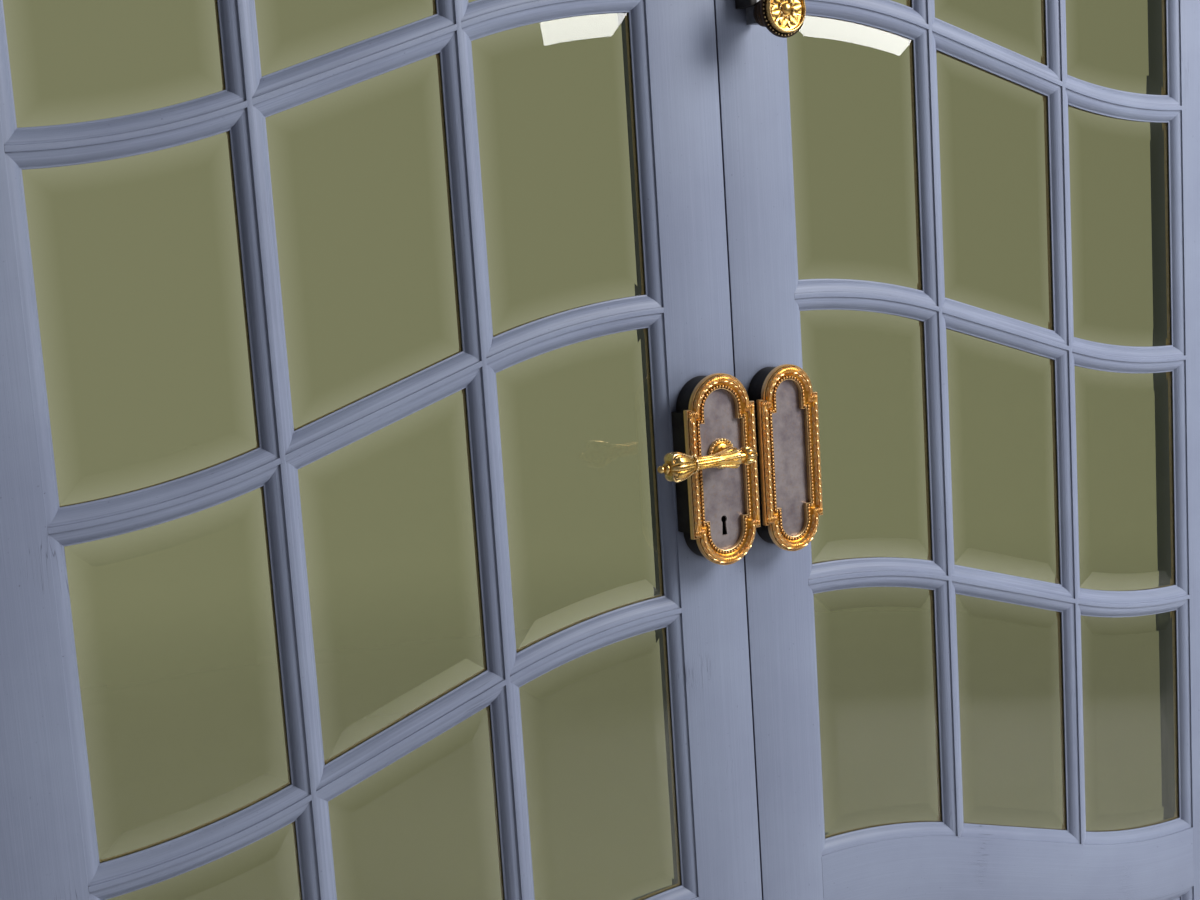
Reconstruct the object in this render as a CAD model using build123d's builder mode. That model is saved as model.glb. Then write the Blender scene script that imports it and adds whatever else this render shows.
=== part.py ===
# French doors: two glazed leaves with double-curved glazing bars, hung in their own rebated frame.
# Sizes are in millimetres. X runs across the doors, -Y is the lock side and +Z is up.
# The origin is the middle of the threshold's underside, on the plane halfway through the leaves.

import os
from math import cos, radians, sin, sqrt, tan

from build123d import *

os.makedirs("parts", exist_ok=True)

# Leaves
leaf_thickness = 44.0
meeting_gap = 1.6           # between the two leaves, at their faces
meeting_bevel = 1.2         # each leaf's meeting edge falls back by this, to clear the other
edge_gap = 3.0              # between a leaf and the jamb or the head
foot_gap = 4.0              # between a leaf and the threshold
meeting_face = 74.7         # flat face of the meeting stile
hinge_face = 100.0          # flat face of the hinge stile
glass_width = 560.0         # from the meeting stile's face edge to the hinge stile's
first_bar_height = 920.0    # centre of the lowest curved bar at the meeting stile
bar_pitch = 278.5
bottom_row = 282.0          # the lowest row of panes is a little taller
bar_count = 4
ogee_slope = 17.31          # degrees, where the curve runs straight across the middle column
middle_rail_face = 73.0
bottom_rail_height = 200.0
top_rail_height = 108.0     # at the meeting stile
joint_lap = 6.0             # a rail or bar blank runs this far into a stile before it is scribed

# Moulding worked on bars, stiles and rails
ridge_half = 2.5
ridge_step = 1.5
quirk = 0.7
shelf_fall = 0.3            # the quirk and the fillet lean outwards by this
ovolo_bulge = 1.5
mould_half = 15.0           # from a bar's centre to the glass
fillet_width = 1.5
mould_depth = 10.0          # from the face down to the glass
tongue_half = 5.0
bar_depth = 26.0

# Glass, panel and beads
glass_clearance = 1.5
glass_edge = 3.0
bevel_width = 20.0
bevel_rise = 2.0
panel_edge = 12.0
panel_margin = 38.0
panel_slope = 16.0
panel_rise = 5.0
bead_depth = 12.0

# Frame
jamb_face = 60.0
frame_depth = 120.0
stop_width = 15.0
stop_clearance = 0.5
head_height = 60.0
threshold_height = 25.0
threshold_stop = 12.0
threshold_nose = 40.0       # in front of the leaves

# Rim lock and keeper
lock_width = 76.5           # over the gilt frame
keeper_width = 69.0
lock_height = 177.0
lock_centre = 1050.0        # above the floor
shoulder_height = 118.0     # straight sides between the shoulders
end_step = 5.5              # each side steps in here to the round end
lock_inset = 1.0            # frame to meeting line
keeper_inset = 5.0
case_inset = 3.5            # the frame stands this far over the case
case_depth = 22.5
case_wall = 2.5
plate_thickness = 2.0
rim_thickness = 5.0
band_width = 14.0
laurel_outer = 1.6
laurel_inner = 9.0
laurel_rise = 2.5
bead_outer = 10.2
bead_inner = 13.2
bead_rise = 1.2
fit = 0.3                   # running clearance of bolts in their slots
lever_rise = 15.0           # from the lock's centre up to the lever's axis
lever_depth = 57.0          # from the leaf's face to the lever's axis
lever_reach = 91.0
lever_stub = 16.5
lever_neck = 6.8
tip_radius = 2.3
spindle = 8.0
follower_radius = 7.0
rose_radius = 14.0
rose_thickness = 4.0
latch_width = 14.0
latch_thickness = 10.0
latch_nose = 2.0            # past the meeting line, at rest
latch_travel = 8.0
dead_drop = 26.0            # from the lock's centre down to the dead bolt's
dead_width = 24.0
dead_length = 30.0
dead_travel = 22.0
keyhole_drop = 52.0
keyhole_length = 18.0
keyhole_radius = 3.2
keyhole_neck = 3.4
keyhole_foot = 5.4

# Surface bolts on the right leaf
knob_x = 37.0
knob_height = 1457.7
case_over_knob = 7.0        # the bolt case starts this far past the knob's centre
bolt_case_width = 28.0
bolt_case_depth = 22.0
rod_width = 12.0
bolt_travel = 18.0
bolt_slot_length = 30.0
foot_case_length = 220.0
rod_rest_gap = 7.0          # from a rod's end to its keeper, at rest
bolt_keeper_height = 36.0
knob_reach = 58.0
knob_radius = 25.0
knob_head = 12.0            # flange, rim and face together
knob_clearance = 1.0        # from the bolt case to the knob's neck
neck_radius = 12.0
rim_radius = 21.0
button_radius = 5.0
rod_tail = 8.0              # past the knob's centre
case_margin = 6.0           # from a bolt case to the leaf's end
keeper_margin = 1.5

# Hinges
hinge_length = 100.0
hinge_margin = 250.0        # from the leaf's ends to the outer hinges' centres
knuckle_radius = 7.0
knuckle_count = 3
pin_radius = 3.0
pin_clearance = 0.05
plate_metal = 2.5
plate_play = 0.2
plate_reach = 32.0
hinge_stand = 0.5           # from the knuckle to the face
finial_radius = 6.0
finial_neck = 2.0
finial_waist = 4.2
finial_tip = 2.4

# Fixing holes in the jambs
fixing_radius = 5.0
fixing_depth = 82.0         # behind the leaves' face
fixing_heights = [350.0, 1850.0]

# Values that follow
front = leaf_thickness / 2
third = glass_width / 3
slope = radians(ogee_slope)
ogee_radius = third / sin(slope)
ogee_rise = third * (tan(slope) + 2 * tan(slope / 2))
meeting_edge = meeting_gap / 2
meeting_arris = meeting_edge + meeting_face
hinge_arris = meeting_arris + glass_width
hinge_edge = hinge_arris + hinge_face
leaf_foot = threshold_height + foot_gap
panel_foot = leaf_foot + bottom_rail_height
stop_front = front + stop_clearance
rod_y = -front - bolt_case_depth / 2
rod_hole = rod_width + 2 * fit
neck_start = bolt_case_depth + knob_clearance
knob_flange = knob_reach - knob_head
plate_front = case_depth + plate_thickness
lever_height = lock_centre + lever_rise
dead_height = lock_centre - dead_drop
keyhole_height = lock_centre - keyhole_drop
lock_x = -lock_inset - lock_width / 2
keeper_x = keeper_inset + keeper_width / 2
bolt_y = -front - case_depth / 2
lever_y = -front - lever_depth
spindle_room = spindle * 0.75
latch_tail = lock_x + follower_radius + latch_travel + fit
dead_end = lock_x + lock_width / 2 - case_inset - fit
foot_case_low = leaf_foot + case_margin
foot_knob_height = foot_case_low + foot_case_length + case_over_knob
levels = [first_bar_height - bottom_row]
levels += [first_bar_height + bar_pitch * n for n in range(bar_count + 1)]
panel_level = levels[0] - middle_rail_face + 2 * ridge_half
leaf_top = levels[-1] + top_rail_height
leaf_height = leaf_top - leaf_foot
jamb_inner = hinge_edge + edge_gap
jamb_outer = jamb_inner + jamb_face
stop_inner = jamb_inner - stop_width
head_foot = leaf_top + edge_gap
top_keeper_foot = head_foot + keeper_margin
axis_x = hinge_edge + edge_gap / 2
axis_y = -front - hinge_stand - knuckle_radius
knuckle = hinge_length / knuckle_count
upright_centres = [meeting_arris + third, meeting_arris + 2 * third]
frame_back = frame_depth - front
hinge_heights = [leaf_foot + hinge_margin, (leaf_foot + leaf_top) / 2, leaf_top - hinge_margin]
hinge_sink = plate_play + plate_metal - edge_gap / 2
board_ends = (meeting_arris - joint_lap, hinge_arris + joint_lap)
columns = [meeting_arris - ridge_half] + upright_centres + [hinge_arris + ridge_half]
on_foot = (Align.CENTER, Align.CENTER, Align.MIN)


def depth_plane(depth):
    """The plane parallel to the doors at this depth behind the leaves' face."""
    return Plane.XZ.offset(front - depth)


def curve_height(level, off, x):
    """Height at x of the line that runs beside a bar's centre line, off above it."""
    s = x - meeting_arris
    upper = ogee_radius + off
    lower = ogee_radius - off
    if s <= upper * sin(slope):
        return level - ogee_radius + sqrt(upper**2 - s**2)
    if glass_width - s <= lower * sin(slope):
        return level - ogee_rise + ogee_radius - sqrt(lower**2 - (glass_width - s) ** 2)
    return level - ogee_radius + upper * cos(slope) - (s - upper * sin(slope)) * tan(slope)


def curve_between(level, off, x_from, x_to):
    """Draw the part of such a line that lies between two places across the leaf."""
    joins = [third + off * sin(slope), 2 * third + off * sin(slope)]
    joins = [meeting_arris + s for s in joins if x_from + 1 < meeting_arris + s < x_to - 1]
    places = [x_from] + joins + [x_to]
    for a, b in zip(places, places[1:]):
        ends = [(x, curve_height(level, off, x)) for x in (a, (a + b) / 2, b)]
        straight = (ends[0][1] + ends[2][1]) / 2
        if abs(straight - ends[1][1]) < 0.001:
            Line(ends[0], ends[2])
        else:
            ThreePointArc(*ends)


def bar_path(level):
    """A bar's centre line on the leaves' face, run a little into both stiles before they are cut."""
    with BuildLine(depth_plane(0)) as path:
        Line((meeting_arris - joint_lap, level), (meeting_arris, level))
        CenterArc((meeting_arris, level - ogee_radius), ogee_radius, 90, -ogee_slope)
        top = (meeting_arris + third, curve_height(level, 0, meeting_arris + third))
        foot = (meeting_arris + 2 * third, curve_height(level, 0, meeting_arris + 2 * third))
        Line(top, foot)
        centre = (hinge_arris, level - ogee_rise + ogee_radius)
        CenterArc(centre, ogee_radius, 270 - ogee_slope, ogee_slope)
        Line((hinge_arris, level - ogee_rise), (hinge_arris + joint_lap, level - ogee_rise))
    return path.wire()


def moulded_side(side, depth, root, back_root):
    """Draw half a moulded section: local X is depth, local Y runs off from the centre line.

    It starts at root in front and ends at back_root behind.
    """
    quirk_end = (ridge_step + shelf_fall, (ridge_half + quirk) * side)
    ovolo_end = (mould_depth - fillet_width - shelf_fall, (mould_half - fillet_width) * side)
    Polyline((0, root * side), (0, ridge_half * side), (ridge_step, ridge_half * side), quirk_end)
    SagittaArc(quirk_end, ovolo_end, ovolo_bulge * side)
    Polyline(ovolo_end, (mould_depth - fillet_width, mould_half * side),
             (mould_depth, mould_half * side), (mould_depth, tongue_half * side),
             (depth, tongue_half * side), (depth, back_root * side))


def bar_section(plane):
    with BuildSketch(plane) as section:
        with BuildLine():
            moulded_side(1, bar_depth, 0, 0)
            moulded_side(-1, bar_depth, 0, 0)
        make_face()
    return section.sketch


def edge_section(plane, side):
    """Half a bar's section, backed by a strip that lies inside a rail."""
    strip = -2 * ridge_half
    with BuildSketch(plane) as section:
        with BuildLine():
            moulded_side(side, leaf_thickness, strip, strip)
            Line((0, strip * side), (leaf_thickness, strip * side))
        make_face()
    return section.sketch


def path_plane(level):
    """Where a curved section starts: local X into the leaf, local Y up."""
    return Plane(origin=(meeting_arris - joint_lap, -front, level), x_dir=(0, 1, 0), z_dir=(1, 0, 0))


# Stiles: full height, with the moulding and the rebate run along their inner edge.
def stile_section(arris, outer, outer_back, side):
    """The stile seen from above: local X into the leaf, local Y across it."""
    centre = arris - ridge_half * side
    plane = Plane(origin=(centre, -front, leaf_foot), x_dir=(0, 1, 0), z_dir=(0, 0, -1))
    with BuildSketch(plane) as section:
        with BuildLine():
            moulded_side(side, leaf_thickness, (outer - centre) * side, (outer_back - centre) * side)
            Line((0, outer - centre), (leaf_thickness, outer_back - centre))
        make_face()
    return section.sketch


with BuildPart() as meeting_stile:
    section = stile_section(meeting_arris, meeting_edge, meeting_edge + meeting_bevel, 1)
    extrude(section, amount=leaf_height, dir=(0, 0, 1))

with BuildPart() as hinge_stile:
    section = stile_section(hinge_arris, hinge_edge, hinge_edge, -1)
    extrude(section, amount=leaf_height, dir=(0, 0, 1))
    for z in hinge_heights:
        with Locations((hinge_edge, -front, z)):
            Box(2 * hinge_sink, 2 * plate_reach, hinge_length, mode=Mode.SUBTRACT)

# Boards of the top rail and the middle rail, with the shaped edges that face the glass.
with BuildPart() as top_board:
    with BuildSketch(depth_plane(0)):
        with BuildLine():
            curve_between(levels[-1], -ridge_half, meeting_arris, hinge_arris)
            low, high = [curve_height(levels[-1], -ridge_half, x) for x in (hinge_arris, meeting_arris)]
            Polyline((meeting_arris, high), (board_ends[0], high), (board_ends[0], leaf_top),
                     (board_ends[1], leaf_top), (board_ends[1], low), (hinge_arris, low))
        make_face()
    extrude(amount=-leaf_thickness)

with BuildPart() as middle_board:
    with BuildSketch(depth_plane(0)):
        with BuildLine():
            curve_between(levels[0], ridge_half, meeting_arris, hinge_arris)
            curve_between(panel_level, -ridge_half, meeting_arris, hinge_arris)
            for x, end in zip((meeting_arris, hinge_arris), board_ends):
                high = curve_height(levels[0], ridge_half, x)
                low = curve_height(panel_level, -ridge_half, x)
                Polyline((x, high), (end, high), (end, low), (x, low))
        make_face()
    extrude(amount=-leaf_thickness)

# Upright glazing bars: they run from board to board, and everything else is scribed to them.
with BuildPart() as upright_bars:
    for x in upright_centres:
        foot = curve_height(levels[0], 0, x) - mould_half
        plane = Plane(origin=(x, -front, foot), x_dir=(0, 1, 0), z_dir=(0, 0, -1))
        top = curve_height(levels[-1], 0, x) + mould_half
        extrude(bar_section(plane), amount=top - foot, dir=(0, 0, 1))
    add(top_board.part, mode=Mode.SUBTRACT)
    add(middle_board.part, mode=Mode.SUBTRACT)


def scribed(blank, count):
    """A rail or bar cut to the stiles and uprights, without the shavings of its scribed ends."""
    with BuildPart() as cut:
        add(blank)
        add(meeting_stile.part, mode=Mode.SUBTRACT)
        add(hinge_stile.part, mode=Mode.SUBTRACT)
        add(upright_bars.part, mode=Mode.SUBTRACT)
    with BuildPart() as kept:
        add(cut.part.solids().sort_by(SortBy.VOLUME)[-count:])
    return kept.part


# Rails: their shaped edges carry the same moulding.
with BuildPart() as top_rail:
    add(top_board.part)
    sweep(edge_section(path_plane(levels[-1]), -1), path=bar_path(levels[-1]))

with BuildPart() as middle_rail:
    add(middle_board.part)
    sweep(edge_section(path_plane(levels[0]), 1), path=bar_path(levels[0]))
    sweep(edge_section(path_plane(panel_level), -1), path=bar_path(panel_level))

with BuildPart() as bottom_rail:
    with BuildSketch(depth_plane(0)):
        with BuildLine():
            Polyline((board_ends[0], leaf_foot), (board_ends[1], leaf_foot),
                     (board_ends[1], panel_foot), (board_ends[0], panel_foot), close=True)
        make_face()
    extrude(amount=-leaf_thickness)
    extrude(edge_section(path_plane(panel_foot - ridge_half), 1),
            amount=glass_width + 2 * joint_lap, dir=(1, 0, 0))


def curved_bar(level):
    """One curved glazing bar, before it is cut into its three lengths."""
    with BuildPart() as bar:
        sweep(bar_section(path_plane(level)), path=bar_path(level))
    return bar.part


# Bevelled panes, each in the rebate behind the moulding.
def pane_outline(row, column, inset, depth):
    """A pane's outline, inset from the centre lines of the bars around it."""
    left = columns[column] + inset
    right = columns[column + 1] - inset
    with BuildSketch(depth_plane(depth)) as outline:
        with BuildLine():
            curve_between(levels[row], inset, left, right)
            curve_between(levels[row + 1], -inset, left, right)
            for x in (left, right):
                Line((x, curve_height(levels[row], inset, x)),
                     (x, curve_height(levels[row + 1], -inset, x)))
        make_face()
    return outline.sketch


def glass_column(column):
    """The panes of one column, from the lowest up."""
    with BuildPart() as panes:
        for row in range(bar_count + 1):
            extrude(pane_outline(row, column, tongue_half + glass_clearance, mould_depth),
                    amount=-glass_edge)
            foot = pane_outline(row, column, mould_half, mould_depth)
            top = pane_outline(row, column, mould_half + bevel_width, mould_depth - bevel_rise)
            loft([foot.face(), top.face()], ruled=True)
    return panes.part


# Lower panel: raised and fielded, with its head shaped like the rail above.
def panel_outline(inset, depth):
    left = columns[0] + inset
    right = columns[-1] - inset
    foot = panel_foot - ridge_half + inset
    with BuildSketch(depth_plane(depth)) as outline:
        with BuildLine():
            curve_between(panel_level, -inset, left, right)
            Polyline((left, curve_height(panel_level, -inset, left)), (left, foot),
                     (right, foot), (right, curve_height(panel_level, -inset, right)))
        make_face()
    return outline.sketch


with BuildPart() as lower_panel:
    extrude(panel_outline(tongue_half + glass_clearance, mould_depth), amount=-panel_edge)
    field = panel_outline(mould_half + panel_margin, mould_depth)
    crown = panel_outline(mould_half + panel_margin + panel_slope, mould_depth - panel_rise)
    loft([field.face(), crown.face()], ruled=True)

# Beads that hold the glass and the panel in their rebates, from the back.
with BuildPart() as glazing_beads:
    for row in range(bar_count + 1):
        for column in range(3):
            with BuildSketch(depth_plane(mould_depth + glass_edge)):
                add(pane_outline(row, column, tongue_half, mould_depth + glass_edge))
                add(pane_outline(row, column, mould_half, mould_depth + glass_edge),
                    mode=Mode.SUBTRACT)
            extrude(amount=-bead_depth)
    with BuildSketch(depth_plane(mould_depth + panel_edge)):
        add(panel_outline(tongue_half, mould_depth + panel_edge))
        add(panel_outline(mould_half, mould_depth + panel_edge), mode=Mode.SUBTRACT)
    extrude(amount=-bead_depth)

leaf_pieces = {
    "meeting_stile": meeting_stile.part,
    "hinge_stile": hinge_stile.part,
    "top_rail": scribed(top_rail.part, 1),
    "middle_rail": scribed(middle_rail.part, 1),
    "bottom_rail": scribed(bottom_rail.part, 1),
    "lower_panel": lower_panel.part,
    "upright_bars": upright_bars.part,
    "glazing_beads": glazing_beads.part,
}
for n in range(bar_count):
    leaf_pieces[f"curved_bar_{n + 1}"] = scribed(curved_bar(levels[n + 1]), len(columns) - 1)
for n, place in enumerate(("meeting", "middle", "hinge")):
    leaf_pieces[f"{place}_panes"] = glass_column(n)


def export_both_sides(pieces):
    """Write right-hand pieces and their mirror images, which make the left-hand side."""
    for name, piece in pieces.items():
        with BuildPart() as right_piece:
            add(piece)
        with BuildPart() as left_piece:
            add(piece)
            mirror(about=Plane.YZ, mode=Mode.REPLACE)
        for side, sided in (("right", right_piece), ("left", left_piece)):
            sided.part.label = f"{side}_{name}"
            export_step(sided.part, f"parts/{side}_{name}.step")


export_both_sides(leaf_pieces)


# Frame: rebated jambs and head, and a threshold with a rounded nose.
def block(low, high, mode=Mode.ADD):
    """A plain block between two opposite corners."""
    with Locations([tuple((a + b) / 2 for a, b in zip(low, high))]):
        Box(*[b - a for a, b in zip(low, high)], mode=mode)


with BuildPart() as threshold:
    with BuildSketch(Plane.YZ.offset(-jamb_inner)):
        with BuildLine():
            Polyline((-front - threshold_nose, 0), (frame_back, 0),
                     (frame_back, threshold_height + threshold_stop / 2),
                     (stop_front + threshold_stop, threshold_height + threshold_stop),
                     (stop_front, threshold_height + threshold_stop),
                     (stop_front, threshold_height),
                     (-front - threshold_nose, threshold_height), close=True)
        make_face()
    extrude(amount=2 * jamb_inner)
    nose = threshold.edges().filter_by(Axis.X).group_by(Axis.Y)[0].sort_by(Axis.Z)[-1]
    fillet(nose, threshold_height / 2.5)
    with Locations((knob_x, rod_y, threshold_height)):
        Box(rod_hole, rod_hole, 2 * (bolt_travel + fit), mode=Mode.SUBTRACT)
        Box(bolt_case_width, bolt_case_depth, 2 * plate_thickness, mode=Mode.SUBTRACT)

with BuildPart() as right_jamb:
    with BuildSketch():
        with BuildLine():
            Polyline((jamb_inner, -front), (jamb_outer, -front), (jamb_outer, frame_back),
                     (stop_inner, frame_back), (stop_inner, stop_front),
                     (jamb_inner, stop_front), close=True)
        make_face()
    extrude(amount=head_foot)
    add(threshold.part, mode=Mode.SUBTRACT)
    for z in hinge_heights:
        with Locations((jamb_inner, -front, z)):
            Box(2 * hinge_sink, 2 * plate_reach, hinge_length, mode=Mode.SUBTRACT)
    for z in fixing_heights:
        with Locations(Location((jamb_outer, fixing_depth - front, z), (0, 90, 0))):
            Cylinder(fixing_radius, 2 * (jamb_face + stop_width), mode=Mode.SUBTRACT)

with BuildPart() as left_jamb:
    add(right_jamb.part)
    mirror(about=Plane.YZ, mode=Mode.REPLACE)

with BuildPart() as head:
    block((-jamb_outer, -front, head_foot), (jamb_outer, frame_back, head_foot + head_height))
    block((-stop_inner, stop_front, head_foot - stop_width), (stop_inner, frame_back, head_foot))

for name, piece in (("threshold", threshold), ("right_jamb", right_jamb),
                    ("left_jamb", left_jamb), ("head", head)):
    piece.part.label = name
    export_step(piece.part, f"parts/{name}.step")


# Hinges: frame plate and door plate share a knuckle of five parts around one pin.
def hinge_plates(side, parts):
    """All plates of one kind: side is 1 on the jamb and -1 on the leaf."""
    inner = axis_x + side * plate_play
    outer = inner + side * plate_metal
    low_x, high_x = min(inner, outer), max(inner, outer)
    with BuildPart() as plates:
        for z in hinge_heights:
            foot = z - hinge_length / 2
            block((low_x, -front + fit, foot), (high_x, -front + plate_reach, foot + hinge_length))
            for n in parts:
                low_z = foot + n * knuckle + (fit / 2 if n else 0)
                high_z = foot + (n + 1) * knuckle - (fit / 2 if n < knuckle_count - 1 else 0)
                block((low_x, axis_y, low_z), (high_x, -front + 2 * fit, high_z))
                with Locations((axis_x, axis_y, (low_z + high_z) / 2)):
                    Cylinder(knuckle_radius, high_z - low_z)
            with Locations((axis_x, axis_y, z)):
                Cylinder(pin_radius + pin_clearance, 2 * hinge_length, mode=Mode.SUBTRACT)
    return plates.part


with BuildPart() as hinge_pins:
    for z in hinge_heights:
        with Locations((axis_x, axis_y, z)):
            Cylinder(pin_radius, hinge_length + 2 * finial_neck)
        for turn in (0, 180):
            with Locations(Location((axis_x, axis_y, z), (turn, 0, 0)) * Pos(Z=hinge_length / 2)):
                Cylinder(finial_waist, finial_neck, align=on_foot)
            with Locations(Location((axis_x, axis_y, z), (turn, 0, 0))
                           * Pos(Z=hinge_length / 2 + finial_neck)):
                Cone(finial_waist, finial_radius, finial_radius - finial_neck, align=on_foot)
            with Locations(Location((axis_x, axis_y, z), (turn, 0, 0))
                           * Pos(Z=hinge_length / 2 + finial_radius)):
                Cone(finial_radius, finial_tip, finial_radius, align=on_foot)

hinge_pieces = {
    "frame_hinge_plates": hinge_plates(1, range(0, knuckle_count, 2)),
    "leaf_hinge_plates": hinge_plates(-1, range(1, knuckle_count, 2)),
    "hinge_pins": hinge_pins.part,
}
export_both_sides(hinge_pieces)


# Rim lock and keeper: shouldered cases with round ends, under gilt moulded frames.
def shouldered(centre_x, width, inset, stand):
    """The shared outline, this far inside the frame's edge and this far off the leaf's face."""
    half = width / 2
    shoulder = shoulder_height / 2
    with BuildSketch(depth_plane(-stand)) as outline:
        with BuildLine():
            for side in (-1, 1):
                Line((centre_x + side * half, lock_centre - shoulder),
                     (centre_x + side * half, lock_centre + shoulder))
            for end in (-1, 1):
                ledge = lock_centre + end * shoulder
                for side in (-1, 1):
                    Line((centre_x + side * half, ledge), (centre_x + side * (half - end_step), ledge))
                ThreePointArc((centre_x - half + end_step, ledge),
                              (centre_x, lock_centre + end * lock_height / 2),
                              (centre_x + half - end_step, ledge))
        make_face()
        if inset:
            offset(amount=-inset, kind=Kind.INTERSECTION)
    return outline.sketch


def hollow_case(centre_x, width):
    """A tray screwed to the leaf, open to the front."""
    extrude(shouldered(centre_x, width, case_inset, 0), amount=case_depth)
    extrude(shouldered(centre_x, width, case_inset + case_wall, case_wall),
            amount=case_depth, mode=Mode.SUBTRACT)


def bolt_slot(x_from, x_to, height, thickness, width):
    """A slot through a side wall, with running clearance round the bolt."""
    block((x_from, bolt_y - thickness / 2 - fit, height - width / 2 - fit),
          (x_to, bolt_y + thickness / 2 + fit, height + width / 2 + fit), Mode.SUBTRACT)


def gilt_frame(centre_x, width):
    """Flat rim, raised laurel band and a bead line, all on the shouldered outline."""
    with BuildPart() as frame:
        extrude(shouldered(centre_x, width, 0, plate_front), amount=rim_thickness)
        extrude(shouldered(centre_x, width, laurel_outer, plate_front),
                amount=rim_thickness + laurel_rise)
        extrude(shouldered(centre_x, width, laurel_inner, plate_front + rim_thickness),
                amount=laurel_rise, mode=Mode.SUBTRACT)
        crest = frame.faces().sort_by(Axis.Y)[0]
        chamfer(crest.edges(), laurel_rise * 0.9)
        extrude(shouldered(centre_x, width, bead_outer, plate_front + rim_thickness),
                amount=bead_rise)
        extrude(shouldered(centre_x, width, band_width, plate_front),
                amount=rim_thickness + laurel_rise, mode=Mode.SUBTRACT)
    return frame.part


with BuildPart() as lock_case:
    hollow_case(lock_x, lock_width)
    bolt_slot(lock_x, lock_x + lock_width, lever_height, latch_thickness, latch_width)
    bolt_slot(lock_x, lock_x + lock_width, dead_height, latch_thickness, dead_width)
    with Locations(Location((lock_x, -front, lever_height), (90, 0, 0))):
        Cylinder(spindle_room, 2 * case_depth, mode=Mode.SUBTRACT)

with BuildPart() as lock_plate:
    extrude(shouldered(lock_x, lock_width, case_inset, case_depth), amount=plate_thickness)
    with BuildSketch(depth_plane(-case_depth)):
        with Locations((lock_x, lever_height)):
            Circle(spindle_room)
        with Locations((lock_x, keyhole_height + keyhole_length / 2 - keyhole_radius)):
            Circle(keyhole_radius)
        with BuildLine():
            foot = keyhole_height - keyhole_length / 2
            neck = foot + keyhole_length - keyhole_radius
            Polyline((lock_x - keyhole_foot / 2, foot), (lock_x + keyhole_foot / 2, foot),
                     (lock_x + keyhole_neck / 2, neck), (lock_x - keyhole_neck / 2, neck), close=True)
        make_face()
    extrude(amount=plate_thickness, mode=Mode.SUBTRACT)

with BuildPart() as lever_rose:
    with BuildSketch(depth_plane(-plate_front)):
        with Locations((lock_x, lever_height)):
            Circle(rose_radius)
            Circle(spindle_room, mode=Mode.SUBTRACT)
    extrude(amount=rose_thickness)
    rim = lever_rose.faces().sort_by(Axis.Y)[0].edges().sort_by(SortBy.LENGTH)[-1]
    chamfer(rim, rose_thickness * 0.6)

with BuildPart() as keeper_case:
    hollow_case(keeper_x, keeper_width)
    bolt_slot(0, keeper_x, lever_height, latch_thickness, latch_width)
    bolt_slot(0, keeper_x, dead_height, latch_thickness, dead_width)

with BuildPart() as keeper_plate:
    extrude(shouldered(keeper_x, keeper_width, case_inset, case_depth), amount=plate_thickness)

# Bolts of the lock: the latch stands in the gap between the cases, the dead bolt is drawn back.
with BuildPart() as latch_bolt:
    block((latch_tail, bolt_y - latch_thickness / 2, lever_height - latch_width / 2),
          (latch_nose, bolt_y + latch_thickness / 2, lever_height + latch_width / 2))
    striking = latch_bolt.edges().filter_by(Axis.Z).group_by(Axis.X)[-1].sort_by(Axis.Y)[-1]
    chamfer(striking, latch_thickness * 0.6, latch_thickness * 0.7)

with BuildPart() as dead_bolt:
    block((dead_end - dead_length, bolt_y - latch_thickness / 2, dead_height - dead_width / 2),
          (dead_end, bolt_y + latch_thickness / 2, dead_height + dead_width / 2))

# Follower: a hub in the case on the square spindle that carries the lever.
with BuildPart() as lock_spindle:
    with BuildSketch(depth_plane(0)):
        with Locations((lock_x, lever_height)):
            Rectangle(spindle, spindle)
    extrude(amount=lever_depth - spindle / 2)
    with BuildSketch(depth_plane(-case_wall - fit)):
        with Locations((lock_x, lever_height)):
            Circle(follower_radius)
    extrude(amount=case_depth - case_wall - 2 * fit)


# Lever handle: one casting, turned about its own length, on a short neck.
with BuildPart() as lever:
    with BuildSketch(Plane((lock_x, lever_y, lever_height), x_dir=(1, 0, 0), z_dir=(0, -1, 0))):
        with BuildLine():
            Polyline((-lever_reach, 0), (-lever_reach, tip_radius), (-88.5, 3.8), (-84, 4.6), (-81, 3.2))
            ThreePointArc((-81, 3.2), (-70, 12.4), (-59.5, 7))
            Polyline((-59.5, 7), (-57, 5.4), (-56.3, 6.8), (-54.7, 6.8), (-54, 5.4), (-22, 6),
                     (-16, 7.4), (-12, 9.5), (-10.5, 8.2))
            ThreePointArc((-10.5, 8.2), (-1.5, 9.8), (7.5, 7.6))
            Polyline((7.5, 7.6), (8.5, 6.2), (11.5, 7.7), (lever_stub - tip_radius, 5),
                     (lever_stub, tip_radius), (lever_stub, 0))
            Line((lever_stub, 0), (-lever_reach, 0))
        make_face()
    revolve(axis=Axis((lock_x, lever_y, lever_height), (1, 0, 0)))
    with BuildSketch(depth_plane(-plate_front - rose_thickness - fit)):
        with Locations((lock_x, lever_height)):
            Circle(lever_neck)
    extrude(amount=lever_depth - plate_front - rose_thickness - fit)
    with BuildSketch(depth_plane(0)):
        with Locations((lock_x, lever_height)):
            Rectangle(spindle + 0.1, spindle + 0.1)
    extrude(amount=lever_depth - spindle / 2, mode=Mode.SUBTRACT)

hardware = {
    "lock_case": lock_case.part,
    "lock_frame": gilt_frame(lock_x, lock_width),
    "lock_plate": lock_plate.part,
    "lever_rose": lever_rose.part,
    "lever": lever.part,
    "lock_spindle": lock_spindle.part,
    "latch_bolt": latch_bolt.part,
    "dead_bolt": dead_bolt.part,
    "keeper_case": keeper_case.part,
    "keeper_frame": gilt_frame(keeper_x, keeper_width),
    "keeper_plate": keeper_plate.part,
}


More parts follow.
